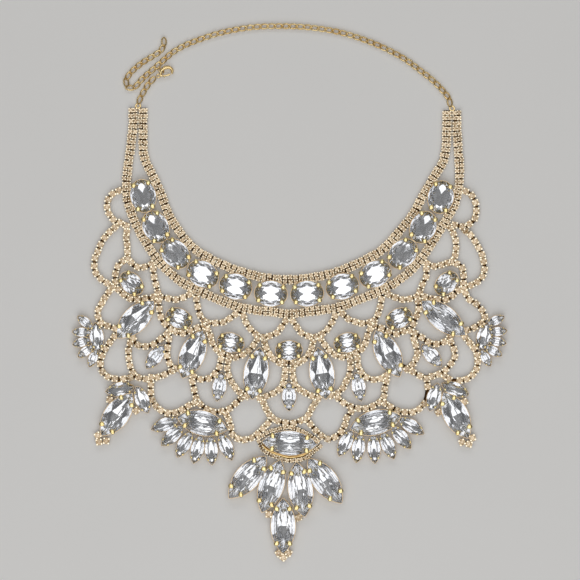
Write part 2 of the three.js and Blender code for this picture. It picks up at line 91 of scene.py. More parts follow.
# long and wide are the outline's, crown is the height from the girdle to the table, facets names the way
# that it is cut, and tip is how far the setting shows past a navette's points.
Cut = namedtuple("Cut", "oval long wide crown facets tip", defaults=[0])
CUTS = {
    "collar_oval": Cut(True, 15.6, 12.3, 2.7, "oval"),
    "small_oval": Cut(True, 12.8, 9.2, 2.1, "oval"),
    "bib_navette": Cut(False, 25, 11.6, 2.7, "navette", 0.15),
    "drop_navette": Cut(False, 26.6, 11.6, 2.7, "drop", 0.15),
    "lying_navette": Cut(False, 25, 11.6, 2.7, "lying", 0.15),
    "crossbar": Cut(False, 26.6, 11.6, 2.7, "lying", 0.15),
    "net_navette": Cut(False, 14, 6.6, 1.6, "small", 0.1),
    "fan_navette": Cut(False, 14.2, 6.2, 1.6, "small", 0.1),
    "wing_navette": Cut(False, 9.2, 4.3, 1.3, "small"),
}
# The broad facets that meet at the lowest point of a stone's back: the direction that each one falls away
# from, its slope in degrees, and how far below that point it would pass.
BROAD_BACK = {
    "oval": [
        (90, 15, 0), (270, 15, 0), (0, 9, 0.25), (180, 9, 0.25),
        (40, 14, 0.55), (140, 14, 0.55), (220, 14, 0.55), (320, 14, 0.55),
    ],
    "navette": [(0, 11.2, 0), (180, 11.2, 0), (90, 24, 0.9), (270, 24, 0.9)],
    "drop": [(0, 11.4, 0), (180, 11.4, 0), (90, 24, 0.9), (270, 24, 0.9)],
    "lying": [(90, 15, 0), (240, 11, 0), (300, 11, 0), (270, 15, 0.1)],
    "small": [(25, 13, 0), (155, 13, 0), (205, 13, 0), (335, 13, 0), (90, 20, 0.2), (270, 20, 0.2)],
}

# The grooves along the back of a long stone: how far from the long axis, and half the width.
FLUTE_SLOPE = 15
FLUTES = {
    "navette": [(-1.9, 0.35), (0.6, 0.4)],
    "drop": [(-1.6, 0.4), (0.9, 0.45), (2.6, 0.35)],
    "lying": [(-2.3, 0.25), (-0.8, 0.25), (1.9, 0.3)],
}
# The facets around a stone: the shares of its outline that they touch, how far out and how steeply they
# start, and for the back the slope in degrees.
CROWNS = {
    "oval": [
        ([k / 4 for k in range(8)], 1, 0.394),
        ([(k + 0.5) / 8 for k in range(16)], 1, 0.307),
        ([(k + 0.5) / 4 for k in range(8)], 1.198, 0.638),
    ],
    "navette": [
        ((-0.33, 0.33), 1, 0.394), ((-0.93, 0.93), 1, 0.582),
        ((-0.8, -0.5, -0.16, 0.16, 0.5, 0.8), 1, 0.431), ((-0.64, 0, 0.64), 1.204, 0.869),
    ],
    "drop": [
        ((-0.33, 0.33), 1, 0.394), ((-0.81, 0.81), 1, 0.686),
        ((-0.8, -0.5, -0.16, 0.16, 0.5, 0.8), 1, 0.25), ((-0.64, 0, 0.64), 1.174, 0.5),
    ],
    "small": [
        ((-0.92, -0.33, 0.33, 0.92), 1, 0.394), ((-0.8, -0.5, -0.16, 0.16, 0.5, 0.8), 1, 0.307),
        ((-0.64, 0, 0.64), 1.198, 0.638),
    ],
}
STEEP_BACK = {
    "oval": [([(k + 0.5) / 4 for k in range(8)], 37)],
    "navette": [((-0.8, 0.8), 22), ((-0.5, 0, 0.5), 37)],
    "drop": [((-0.95, 0.95), 24), ((-0.5, 0, 0.5), 37)],
    "small": [((-0.85, -0.5, 0, 0.5, 0.85), 37)],
}
CROWNS["lying"] = CROWNS["drop"]
STEEP_BACK["lying"] = STEEP_BACK["drop"]
# The facet over each point of a navette and the one under it: slopes in degrees, and the first one's rise
# over the girdle as a share of the crown.
POINT_CROWN, POINT_BACK, POINT_RISE = 23.4, 30, 0.33

# -------- the layout, in mm
# out is the distance from the middle line, up the height above the collar's level, and turn the angle of
# the long axis from outward towards upward. The net is limp, so the right half lies a little differently.

LEFT_STONES = {
    "collar_oval_1": ("collar_oval", 70, 44.2, 79),
    "collar_oval_2": ("collar_oval", 64, 29.3, 64),
    "collar_oval_3": ("collar_oval", 54.6, 16.5, 46),
    "collar_oval_4": ("collar_oval", 41.4, 6.7, 29),
    "collar_oval_5": ("collar_oval", 25.6, 0.7, 15),
    "collar_oval_6": ("collar_oval", 8.7, -2.7, 5),
    "small_oval_1": ("small_oval", 75.6, 2.2, 45),
    "small_oval_2": ("small_oval", 52.8, -14.6, 25),
    "small_oval_3": ("small_oval", 28, -26.3, 12),
    "bib_navette_1": ("bib_navette", 73.7, -15, -45),
    "bib_navette_2": ("bib_navette", 46.3, -31.7, -67),
    "bib_navette_3": ("bib_navette", 15.8, -41, -81),
    "net_navette_1": ("net_navette", 64.2, -33, -53),
    "net_navette_2": ("net_navette", 33.4, -47.4, -80),
    "fan_centre": ("lying_navette", 41.6, -64.8, 194),
    "side_drop": ("bib_navette", 82.6, -60.7, -54),
}
RIGHT_STONES = {
    **LEFT_STONES,
    "bib_navette_1": ("drop_navette", 74.1, -14.4, -38),
    "bib_navette_2": ("bib_navette", 47.4, -31.4, -63),
    "net_navette_1": ("net_navette", 68.5, -32.4, -49),
    "fan_centre": ("lying_navette", 41.5, -64.5, 14),
    "side_drop": ("bib_navette", 80.1, -61, -62),
}
# In the middle line and below it, turn is from +X.
MIDDLE_STONES = {
    "middle_oval": ("small_oval", 0, -30, 0),
    "middle_navette": ("net_navette", 0, -52, 90),
    "drop_crossbar": ("crossbar", 0.3, -74.4, -3),
    "drop_outer_left": ("drop_navette", -19.9, -90.8, 48.5),
    "drop_inner_left": ("drop_navette", -8.5, -95.1, 70.5),
    "drop_inner_right": ("drop_navette", 5.5, -96.7, -81.5),
    "drop_outer_right": ("drop_navette", 17.3, -92.5, -53.5),
    "drop_tip": ("drop_navette", -2.8, -114.2, 90),
}
# out, up and turn, for each cut.
LEFT_SMALL_STONES = {
    "fan_navette": [
        (59.5, -65.5, -20), (56, -70.9, -43), (50.3, -75.1, -61), (44, -77.4, -75), (37.3, -77.9, -93),
        (30.2, -76.2, -114),
    ],
    "net_navette": [(92.3, -23.6, 84), (81.2, -48.6, -10), (70.5, -53.6, 67)],
    "wing_navette": [
        (97.9, -16.3, 39), (99.6, -21.2, 2), (99.6, -26, -17), (97.7, -30.4, -38), (94.1, -33.7, -68),
    ],
}
RIGHT_SMALL_STONES = {
    "fan_navette": [
        (58.7, -66.3, -32), (53.9, -71.7, -50), (47.5, -75.6, -65), (40.8, -77.2, -86), (33.3, -76.9, -98),
        (27.1, -74.5, -117),
    ],
    "net_navette": [(93.5, -23.4, 75), (79.8, -48.6, -22), (69.6, -52.4, 74)],
    "wing_navette": [
        (99.2, -15.6, 25), (100.2, -20.9, 6), (99.9, -25.7, -12), (98.2, -30.2, -30), (94.4, -33.6, -60),
    ],
}
# Single cups: out, up, turn; and in the drop x, y, turn.
LEFT_CUPS = [(73.5, -59.2, 45), (86, -53.5, 10), (91.9, -70.9, -30), (91.2, -74, -15), (87.8, -73.4, 10)]
RIGHT_CUPS = [(71.6, -59.7, 30), (84.4, -54.6, 35), (88.2, -72.2, 20), (86.3, -75, -15), (83.2, -74, 30)]
DROP_CUPS = [(-9.6, -108.8, 0), (4.5, -110.2, 25), (-5.2, -127.3, 30), (-0.4, -127.3, 60), (-2.8, -129.7, 45)]

# Spots of solder: out, up; and in the drop x, y.
LEFT_SOLDER = [(90.1, -28.8), (92.2, -17.6), (81.4, -45.6)]
RIGHT_SOLDER = [(90.6, -27.8), (93.3, -17)]
DROP_SOLDER = [(5.8, -108.8)]

LEFT_ROWS = {
    "ear_loop": [(79, 48), (85, 45), (87.5, 39.5), (85, 33.5), (78, 30)],
    "side_loop": [(82.5, 30.5), (89, 23.5), (93, 14.5), (93.5, 8.5), (90, 4), (84.5, 0.5)],
    "inner_strand": [(78, 30), (78, 22), (77.5, 14)],
    "collar_tie": [(77.5, 14), (74, 10.5), (69.5, 10), (64.5, 12.5)],
    "oval_hook": [(77.5, 14), (81.5, 11.5), (83.5, 6.5), (83, 1)],
    "shelf": [
        (84.5, 1), (80.5, -2), (75.5, -5.5), (68.5, -5), (62.5, -4), (56, -5.5), (50.5, -4.5), (44.5, -1.5),
    ],
    "long_strand": [(65, 12.5), (65, 5.5), (63, -1.5), (62.5, -8.5), (61, -15.5), (57, -20)],
    "oval_shelf": [(57, -20), (51.5, -22), (46, -20), (40.5, -18)],
    "hammock": [(57, -20), (61.5, -24.5), (68, -28), (73, -27), (75.5, -23.5)],
    "column": [(57, -20), (58, -27.5), (58.5, -33), (56.5, -37.5), (51.5, -39)],
    "collar_swag": [(44.5, -1.5), (44, -8), (41.5, -15), (35.5, -17), (29, -15), (23.5, -10.5)],
    "centre_swag": [(23.5, -10.5), (20, -17.5), (15.5, -22.5), (11, -23.5), (6, -21.5), (2.5, -17), (0, -12.5)],
    "second_swag": [(40.5, -18), (38, -22), (36, -28), (31.5, -32), (24.5, -33), (18.5, -29), (14.5, -23.5)],
    "outer_leg": [(47, -42), (42.5, -44), (37.5, -43), (34, -39), (32.5, -33)],
    "inner_leg": [(29, -33), (29.5, -39.5), (27.5, -45), (24.5, -49.5), (20, -52)],
    "bottom_swag": [
        (47, -42), (46, -47.5), (44, -54), (39.5, -58), (33.5, -59.5), (28, -57.5), (24, -54), (20, -49.5),
    ],
    "round_loop": [(66, -43), (66.5, -49.5), (65, -55), (60.5, -59.5), (54, -59.5), (49, -57), (44, -54.5)],
    "pocket": [
        (75.5, -24), (77, -30), (76.5, -37), (73.5, -42), (67.5, -44), (62, -42.5), (56.5, -40), (51.5, -39),
    ],
    "upper_loop": [(84.5, 1), (89, -5.5), (92, -12), (90, -17), (81.5, -20)],
    "lower_loop": [(81.5, -20), (85.5, -25.5), (89.5, -32), (90.5, -37.5), (88, -42), (81.5, -44), (73.5, -42)],
    "centre_leg": [(2, -35.5), (1.9, -42), (3.4, -47.1), (7.7, -50.5), (14, -53)],
    "drop_swag": [(31, -59), (28.5, -65), (27, -70.5), (22, -73), (17, -71.5), (12, -67), (8, -62.5)],
}
RIGHT_ROWS = {
    "ear_loop": [(82, 47.6), (86.5, 45.6), (89.3, 41.5), (90, 36.8), (88.7, 32.4), (85, 29.8), (79.5, 30.2)],
    "side_loop": [
        (83.5, 28.8), (87.9, 24.6), (91.4, 19.1), (93.4, 13.5), (93.8, 8.5), (92.2, 4.4), (88.5, 1.7), (84, 0),
    ],
    "inner_strand": [(77.5, 29), (79.8, 24), (80.3, 19.7), (79.8, 15.5), (78.5, 12.7)],
    "collar_tie": [(78.5, 12.7), (75.1, 11.5), (70, 10.4), (65, 12.5)],
    "oval_hook": [(78.5, 12.7), (82.6, 10.4), (83.8, 6), (84, 0.5)],
    "long_strand": [(65.5, 12.5), (66, 6), (63.3, 0), (61.8, -5.5), (62.2, -11), (60.3, -16), (58, -20.5)],
    "hammock": [(58, -20.5), (62, -22.8), (66.5, -25.6), (70.5, -26.9), (74.5, -25.9), (77.5, -23.5)],
    "column": [(58.5, -20.5), (60.8, -26.5), (61.8, -31.5), (60.3, -35.5), (56.5, -38.8)],
    "bottom_swag": [
        (47.5, -41.5), (46.3, -47), (45.4, -52.3), (41.5, -56.2), (36.5, -57.8), (31, -57.4), (26, -55),
        (22, -51),
    ],
    "pocket": [
        (77, -24), (78.9, -28.5), (79.5, -33), (77.3, -37.3), (72.8, -41), (67, -42.8), (61, -41.3),
        (56, -38), (52, -37),
    ],
    "upper_loop": [
        (84, 0.5), (85.8, -4.5), (89.7, -7.6), (93.2, -11.3), (93.7, -15.5), (89.5, -18.6), (82.5, -21),
    ],
    "lower_loop": [
        (82.5, -21), (86, -25.5), (89.6, -30.2), (90.6, -35.5), (89, -41), (84, -44.3), (78, -44.2),
        (73, -41.2),
    ],
    "drop_swag": [
        (31, -57.5), (28.2, -61.8), (26.4, -66.3), (23.8, -70.4), (19.5, -72.5), (15.5, -70.8),
        (11.5, -66.8), (8, -62.8),
    ],
}
MIDDLE_ROWS = {
    "centre_saddle": [(12, -23.5), (11, -28.5), (8, -33.5), (4, -36), (0, -36)],
    "bottom_loop": [(14, -52), (12, -56), (9, -61.5), (5, -64), (0, -65)],
}
COLLAR_PAIRS = {
    "neck_pair": [
        (70.2, 86.6), (70.2, 73.5), (70, 66), (69, 61), (66.5, 56), (64, 51), (61, 44), (59, 38), (56, 32),
        (53, 27.5), (49.5, 23), (45, 18.5), (39.5, 15), (32.5, 11.5), (25, 8.5), (16.5, 6), (8, 4.5), (0, 4),
    ],
    "bib_pair": [
        (74.9, 86.6), (75, 77), (76, 68.5), (77.5, 57.5), (78, 49), (77.5, 42), (75.5, 35.5), (73, 29.5),
        (68.5, 21.5), (63.5, 14), (57.5, 7.5), (51, 2.5), (42.5, -2), (34, -5.5), (24.5, -9), (17, -10.5),
        (8.5, -11.5), (0, -12.5),
    ],
}
HALO_PITCH = 2.25
HALO_CUP = 0.93  # the halo's cups are this much of the collar's
DROP_HALO = [
    [(-14.5, -72), (-8, -68.5), (0, -67), (7, -69), (14, -73.5)],
    [(-15, -72.7), (-12, -78), (-6.5, -81), (0.5, -83), (8, -81.5), (15, -76)],
]
HALO_BAND = [(-13.4, -75.2), (-10.3, -77.8), (-5.7, -79.9), (0.5, -81.3), (7.3, -80), (11.8, -77)]
STRAP_END = (72.55, 87)  # out and up, in the middle of a strap's end
STRAP_LOOP = 1.1  # the radius of the loop there
RIGHT_STRAP = {"foot": 27, "top": 87, "out": 5.8, "down": 1.2}  # the right strap lies further out

CHAINS = {
    "long_chain": [
        (77.5, 87.6), (76.8, 91), (73.5, 95.3), (68.5, 100.3), (63, 104.6), (56, 109.8), (49.5, 113.5),
        (42, 117), (33, 120.4), (23.5, 123.1), (14, 124.7), (4.5, 125.65), (-5.5, 125.85), (-15, 125.55),
        (-24.5, 124.4), (-34.5, 122.2), (-42.5, 119.6), (-50.5, 116.4), (-56.5, 112.8), (-60, 109.7),
        (-63.4, 106.8),
    ],
    "extender_tail": [
        (-64.5, 105.8), (-66.9, 103.7), (-71, 100), (-74, 96.8), (-77, 96.4), (-78.3, 99.8), (-75.6, 103.9),
        (-70.6, 108.2), (-65.5, 111.4), (-61.6, 114.2), (-60.2, 117.3), (-60.2, 120.3),
    ],
    "short_chain": [(-72.4, 88.9), (-71.3, 91.5), (-69.7, 94.5), (-67.6, 97.8), (-64.3, 101.3)],
}
CLASP = (-62.8, 101.9, 14)  # x, y and turn
CLASP_LEVEL = 1.35  # the middle of its wires
CLASP_WIRES = {"back": 0.72, "eye": 0.32, "neck": 0.62, "arm": 0.45, "tab": 0.28}  # their radii
CLASP_EYE = 0.82
CLASP_NECK = [(0.9, 0.05), (1.9, -0.35)]
CLASP_BACK = [(0.9, 0.2), (1.5, 1.3), (2.5, 2.4), (4, 3), (5.8, 2.8), (7, 1.7), (7.1, 0.5), (6.5, -0.5)]
LEVER_PIVOT = (2, -0.55)
LEVER_TAB = [(0.7, 0), (0.7, -0.95)]  # from the pivot
# x and y from the pivot, and how full the lever is there: its end at the pivot is round, so that it turns free.
LEVER_ROUTE = [
    (0.03, 0, 0.36), (0.12, -0.01, 0.68), (0.25, -0.02, 0.9), (0.45, -0.04, 1), (2, -0.2, 1), (3.7, -0.05, 1)
]
HOOKED_LINK = (-61.6, 104.5, -33, 1.25)  # x, y, turn and level
HOOKED_LONG, HOOKED_HIGH = 3.4, 2.3  # along the middle of its wire
HOOKED_WIRE = 0.29
HOOKED_LEAN = 40

# The soft lamps: name, place and size in metres, and power in watts. Each one faces the middle.
LAMPS = (
    ("key_softbox", (0, -0.85, 0.95), (1.6, 1.0), 5.8),
    ("top_softbox", (0, 0.1, 2.2), (2, 1.5), 11.3),
    ("rear_softbox", (0, 1, 0.75), (1.3, 0.35), 2.3),
)
WORLD_LIGHT = 0.14
CAMERA_PLACE = (0.00019, 0.00132, 1.603)
CAMERA_FAR = 1.6  # from the camera to the stones
VIEW_WIDE = 0.2784  # what the camera sees across, at the stones
SENSOR = 36

# Plated metals: the colour, the colour where it is deeper, the roughness, how fine its patches are and how
# strong its rub marks. The foils lie behind the stones; the claws' metals are lighter than the plate of their
# cups and settings, a painted highlight.
METALS = {
    "champagne_claw": ((1, 0.92, 0.73), (0.94, 0.81, 0.6), 0.12, 700, 0.05),
    "bright_gold_plate": ((1, 0.86, 0.46), (1, 0.74, 0.32), 0.16, 500, 0.12),
    "solder": ((0.86, 0.66, 0.32), (0.6, 0.4, 0.16), 0.3, 500, 0.3),
    # The strips under the rows are near-black brass, painted shade in the gaps between the cups.
    "dark_brass": ((0.14, 0.07, 0.025), (0.07, 0.035, 0.015), 0.42, 500, 0.3),
    "silver_foil": ((0.95, 0.95, 0.96), (0.86, 0.87, 0.89), 0.06, 300, 0.02),
    "champagne_foil": ((0.88, 0.79, 0.66), (0.6, 0.49, 0.36), 0.1, 600, 0.02),
}
GRAIN = 2600  # how fine the rub marks are
BUMP_HEIGHT = 0.00005  # and how high, in metres

# The frame's own origin is under the middle of the whole necklace, and the layout's on its middle line.
_low, _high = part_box("drop_tip")
SHIFT = Vector([(_low[i] + _high[i]) / 2 - MIDDLE_STONES["drop_tip"][i + 1] * MM for i in (0, 1)]).to_3d()


# -------- places


def strap_share(up):
    """How much of the right strap's shift there is at a height."""
    rise = (up - RIGHT_STRAP["foot"]) / (RIGHT_STRAP["top"] - RIGHT_STRAP["foot"])
    return 1 - (1 - min(max(rise, 0), 1)) ** 2


def placed(side, out, up):
    """A point of the half layout, on the left side (-1) or the right (1)."""
    if side < 0:
        return (-out, up)
    share = strap_share(up)
    return (out + RIGHT_STRAP["out"] * share, up - RIGHT_STRAP["down"] * share)


def placed_turn(side, turn):
    return 180 - turn if side < 0 else turn


def both_ways(route):
    """A half route on both sides as one, from left to right."""
    return [placed(-1, *p) for p in route] + [placed(1, *p) for p in reversed(route)][1:]


def large_stones():
    """Every large stone's name, cut, x, y and turn."""
    rows = []
    for side, word, table in ((-1, "left", LEFT_STONES), (1, "right", RIGHT_STONES)):
        for name, (cut, out, up, turn) in table.items():
            rows.append((f"{name}_{word}", cut, *placed(side, out, up), placed_turn(side, turn)))
    rows += [(name, *row) for name, row in MIDDLE_STONES.items()]
    return rows


def set_out(left, right):
    """The rows of the left half and the right, out, up and turn, as x, y and turn."""
    return [
        (*placed(side, out, up), placed_turn(side, turn))
        for side, table in ((-1, left), (1, right))
        for out, up, turn in table
    ]


def small_stones():
    """Every small stone's cut, x, y and turn."""
    return [
        (cut, *place)
        for cut in LEFT_SMALL_STONES
        for place in set_out(LEFT_SMALL_STONES[cut], RIGHT_SMALL_STONES[cut])
    ]


def single_rows():
    """The routes of all the single rows, on the left, on the right and across the middle."""
    rows = [[placed(-1, *p) for p in route] for route in LEFT_ROWS.values()]
    for name, route in LEFT_ROWS.items():
        rows.append(RIGHT_ROWS.get(name) or [placed(1, *p) for p in route])
    return rows + [both_ways(route) for route in MIDDLE_ROWS.values()]


def smooth_route(route, fine=10):
    """Points close together on a smooth line through a route's points."""
    points = [Vector(p) for p in route]
    points = [2 * points[0] - points[1], *points, 2 * points[-1] - points[-2]]
    line = []
    for a, b, c, d in zip(points, points[1:], points[2:], points[3:]):
        ab, bc, cd = ((q - p).length ** 0.5 for p, q in ((a, b), (b, c), (c, d)))
        leave = ((b - a) / ab - (c - a) / (ab + bc) + (c - b) / bc) * bc
        reach = ((c - b) / bc - (d - b) / (bc + cd) + (d - c) / cd) * bc
        for i in range(fine):
            t = i / fine
            line.append(
                b + leave * t + (3 * (c - b) - 2 * leave - reach) * t**2 + (2 * (b - c) + leave + reach) * t**3
            )
    return line + [points[-2]]


def distances(line):
    """How far along a line of points each of them is."""
    far = [0]
    for a, b in zip(line, line[1:]):
        far.append(far[-1] + (b - a).length)
    return far


def evenly(line, start, gap, count):
    """Places a gap apart on a line, each a point and its direction."""
    far = distances(line)
    places, k = [], 0
    for i in range(count):
        goal = start + gap * i
        while k < len(far) - 2 and far[k + 1] < goal:
            k += 1
        way = line[k + 1] - line[k]
        places.append((line[k] + way * ((goal - far[k]) / way.length), way.normalized()))
    return places


def along(route, pitch, start=0.5, end=0.5):
    """Evenly spaced places on a route, about a pitch apart."""
    line = smooth_route(route)
    total = distances(line)[-1]
    count = max(1, round(total / pitch - start - end + 1))
    gap = total / (count - 1 + start + end)
    return evenly(line, gap * start, gap, count)


def heading(way):
    return math.degrees(math.atan2(way.y, way.x))


def rotation(degrees, axis="Z"):
    return Matrix.Rotation(math.radians(degrees), 4, axis)


def at(x, y, turn=0, z=0):
    """The matrix that carries a pattern, made in mm about its own middle, to its place in the necklace."""
    place = SHIFT + Vector((x, y, z)) * MM
    return Matrix.Translation(place) @ rotation(turn) @ Matrix.Scale(MM, 4)


# -------- the outlines of the stones


def arc_radius(a, b):
    """The radius of a navette's two arcs, from its half length and half width."""
    return (a * a + b * b) / (2 * b)


def on_outline(cut, share, side):
    """A point of a stone's outline, and its outward direction.

    On a navette the share goes from -1 to 1 along each side, and on an oval from 0 to 2 all round.
    """
    size = CUTS[cut]
    a, b = size.long / 2, size.wide / 2
    if size.oval:
        angle = math.pi * share * side
        way = Vector((math.cos(angle) / a, math.sin(angle) / b)).normalized()
        return Vector((a * math.cos(angle), b * math.sin(angle))), way
    radius = arc_radius(a, b)
    angle = math.asin(a / radius) * share
    way = Vector((math.sin(angle), side * math.cos(angle)))
    return Vector((radius * way.x, radius * way.y - side * (radius - b))), way


def tangents(cut, shares):
    """Lines that touch a stone's outline, each its outward direction and its distance from the middle."""
    sides = (1,) if CUTS[cut].oval else (1, -1)
    touched = [on_outline(cut, share, side) for side in sides for share in shares]
    return [(way, point.dot(way)) for point, way in touched]


def upright_sides(cut):
    """The tangents of a stone's upright sides, evenly spaced."""
    if CUTS[cut].oval:
        return tangents(cut, [i / 16 for i in range(32)])
    return tangents(cut, [(2 * i + 1) / 10 - 1 for i in range(10)])


# -------- modelling helpers


def deselect():
    if bpy.context.mode != "OBJECT":
        bpy.ops.object.mode_set(mode="OBJECT")
    bpy.ops.object.select_all(action="DESELECT")


def pick(objects):
    """Selects objects and nothing else, the first one active."""
    deselect()
    for obj in objects:
        obj.select_set(True)
    bpy.context.view_layer.objects.active = objects[0]


def begin(name, add, **how):
    """A primitive, named and opened for editing."""
    deselect()
    add(**how)
    obj = bpy.context.active_object
    obj.name = obj.data.name = name
    bpy.ops.object.mode_set(mode="EDIT")
    bpy.ops.mesh.select_mode(type="VERT")
    return obj


def cube(name, **how):
    return begin(name, bpy.ops.mesh.primitive_cube_add, **how)


def resize(x, y, z):
    bpy.ops.transform.resize(value=(x, y, z))


def move(x, y, z):
    bpy.ops.transform.translate(value=(x, y, z))


def extrude(x, y, z):
    bpy.ops.mesh.extrude_region_move(TRANSFORM_OT_translate={"value": (x, y, z)})


def end(obj, *materials):
    """Closes a pattern's editing. The back facets have the second material, where there is one."""
    bpy.ops.object.mode_set(mode="OBJECT")
    for material in materials:
        obj.data.materials.append(material)
    for polygon in obj.data.polygons:
        polygon.material_index = int(len(materials) > 1 and polygon.normal.z < -0.05)


def face_outward():
    bpy.ops.mesh.select_all(action="SELECT")
    bpy.ops.mesh.normals_make_consistent(inside=False)


def select(obj, kind, test):
    """Selects the faces or edges that pass a test, and leaves edit mode open."""
    bpy.ops.mesh.select_mode(type=kind)
    bpy.ops.mesh.select_all(action="DESELECT")
    bpy.ops.object.mode_set(mode="OBJECT")
    for item in obj.data.polygons if kind == "FACE" else obj.data.edges:
        item.select = test(item)
    bpy.ops.object.mode_set(mode="EDIT")


def select_faces(obj, side=1):
    """Selects the faces that look straight up (1) or down (-1)."""
    select(obj, "FACE", lambda face: face.normal.z * side > 0.9)


def select_edges(obj, test):
    """Selects the edges whose two ends pass the test."""
    points = obj.data.vertices
    select(obj, "EDGE", lambda edge: test(*[points[i].co for i in edge.vertices]))


def cut_plane(point, way):
    """Cuts away what lies beyond a plane and closes the cut with one flat face."""
    bpy.ops.mesh.select_all(action="SELECT")
    way = Vector(way).normalized()
    bpy.ops.mesh.bisect(plane_co=point, plane_no=way, use_fill=True, clear_outer=True, threshold=1e-5)


def add_object(name, data):
    obj = bpy.data.objects.new(name, data)
    bpy.context.scene.collection.objects.link(obj)
    return obj


def joined(name, objects):
    """Several objects as one, under a new name."""
    pick(objects)
    if len(objects) > 1:
        bpy.ops.object.join()
    made = bpy.context.active_object
    made.name = made.data.name = name
    return made


def laid_out(name, pattern, places):
    """One piece made of a pattern's copies, one at each place. The pattern itself stays."""
    copies = []
    for place in places:
        mesh = pattern.data.copy()
        mesh.transform(place)
        copies.append(add_object(name, mesh))
    return joined(name, copies)


def drop_patterns(*patterns):
    for pattern in patterns:
        bpy.data.objects.remove(pattern)


def finish_piece(obj, body="necklace", replaces=()):
    """Says which body a piece rides on, and the frame's nodes that it stands for."""
    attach(obj, body)
    if replaces:
        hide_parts(*replaces)


def circle(count, radius=1):
    turns = [2 * math.pi * i / count for i in range(count)]
    return [(radius * math.cos(turn), radius * math.sin(turn)) for turn in turns]


def wire(name, routes, radius, z, closed=False, sides=2, radii=None):
    """A round wire along each route, as one mesh."""
    data = bpy.data.curves.new(name, "CURVE")
    data.dimensions = "3D"
    data.bevel_depth = radius
    data.bevel_resolution = sides
    data.use_fill_caps = True
    for route in routes:
        spline = data.splines.new("POLY")
        spline.points.add(len(route) - 1)
        for i, point in enumerate(route):
            height = point[2] if len(point) > 2 else z
            spline.points[i].co = (point[0], point[1], height, 1)
            spline.points[i].radius = radii[i] if radii else 1
        spline.use_cyclic_u = closed
    pick([add_object(name, data)])
    bpy.ops.object.convert(target="MESH")
    obj = bpy.context.active_object
    bpy.ops.object.mode_set(mode="EDIT")
    bpy.ops.mesh.select_all(action="SELECT")
    bpy.ops.mesh.remove_doubles(threshold=1e-4)
    bpy.ops.object.mode_set(mode="OBJECT")
    return obj


def smooth(obj, angle=40):
    pick([obj])
    bpy.ops.object.shade_smooth_by_angle(angle=math.radians(angle))


# -------- materials


def looks():
    return bpy.context.scene.necklace_looks


def feed(tree, socket, value):
    """Links an output to a socket, or sets a plain value there."""
    if isinstance(value, bpy.types.NodeSocket):
        tree.links.new(value, socket)
    else:
        socket.default_value = value


def add_node(tree, kind, **inputs):
    node = tree.nodes.new(kind)
    for key, value in inputs.items():
        feed(tree, node.inputs[key.replace("_", " ")], value)
    return node


def noise(tree, place, scale, detail):
    """A value that wanders over the surface."""
    return add_node(tree, "ShaderNodeTexNoise", Vector=place, Scale=scale, Detail=detail).outputs["Fac"]


def ranged(tree, value, **ends):
    """A value carried from one range to another."""
    return add_node(tree, "ShaderNodeMapRange", Value=value, **ends).outputs["Result"]


def blend(tree, share, first, second):
    """The colour between two, by a share that changes over the surface."""
    mix = tree.nodes.new("ShaderNodeMix")
    mix.data_type = "RGBA"
    feed(tree, mix.inputs["Factor"], share)
    feed(tree, mix.inputs[6], first)
    feed(tree, mix.inputs[7], second)
    return mix.outputs[2]


def new_material(name):
    """A material, its node tree, its shader's sockets, and the object's own coordinates."""
    made = bpy.data.materials.new(name)
    made.use_nodes = True
    tree = made.node_tree
    place = tree.nodes.new("ShaderNodeTexCoord").outputs["Object"]
    return made, tree, tree.nodes["Principled BSDF"].inputs, place


def plate_group():
    """Thin plating: its colour wanders from place to place, and fine rub marks change its gloss."""
    name = "plating"
    if name in bpy.data.node_groups:
        return bpy.data.node_groups[name]
    tree = bpy.data.node_groups.new(name, "ShaderNodeTree")
    for way, kind, labels in (
        ("INPUT", "Vector", ["Vector"]),
        ("INPUT", "Color", ["Plate", "Deep"]),
        ("INPUT", "Float", ["Patch Scale", "Grain Scale", "Gloss"]),
        ("OUTPUT", "Color", ["Color"]),
        ("OUTPUT", "Float", ["Roughness", "Height"]),
    ):
        for label in labels:
            tree.interface.new_socket(name=label, in_out=way, socket_type="NodeSocket" + kind)
    given = tree.nodes.new("NodeGroupInput").outputs
    out = tree.nodes.new("NodeGroupOutput").inputs
    patch = noise(tree, given["Vector"], given["Patch Scale"], 2)
    grain = noise(tree, given["Vector"], given["Grain Scale"], 3)
    wander = ranged(tree, patch, From_Min=0.35, From_Max=0.7)
    rub = ranged(tree, grain, From_Min=0.3, From_Max=0.75, To_Min=-0.06, To_Max=0.14)
    gloss = tree.nodes.new("ShaderNodeMath")
    gloss.operation = "ADD"
    feed(tree, gloss.inputs[0], given["Gloss"])
    feed(tree, gloss.inputs[1], rub)
    feed(tree, out["Color"], blend(tree, wander, given["Plate"], given["Deep"]))
    feed(tree, out["Roughness"], gloss.outputs["Value"])
    feed(tree, out["Height"], grain)
    return tree


def metal(name):
    """Plated metal with the plating group's colour, gloss and fine bumps."""
    if name in bpy.data.materials:
        return bpy.data.materials[name]
    look = looks()
    plate, deep, gloss, patch, bump = {
        **METALS,
        "champagne_plate": (look.plate, look.plate_deep, look.plate_gloss, 260, 0.12),
        "warm_gold_plate": (look.chain, look.chain_deep, 0.2, 180, 0.12),
    }[name]
    made, tree, shader, place = new_material(name)
    shader["Metallic"].default_value = 1.0
    group = tree.nodes.new("ShaderNodeGroup")
    group.node_tree = plate_group()
    for label, value in (
        ("Vector", place),
        ("Plate", (*plate, 1)),
        ("Deep", (*deep, 1)),
        ("Patch Scale", patch),
        ("Grain Scale", GRAIN),
        ("Gloss", gloss),
    ):
        feed(tree, group.inputs[label], value)
    bumps = add_node(
        tree, "ShaderNodeBump", Height=group.outputs["Height"], Strength=bump, Distance=BUMP_HEIGHT
    )
    feed(tree, shader["Base Color"], group.outputs["Color"])
    feed(tree, shader["Roughness"], group.outputs["Roughness"])
    feed(tree, shader["Normal"], bumps.outputs["Normal"])
    return made


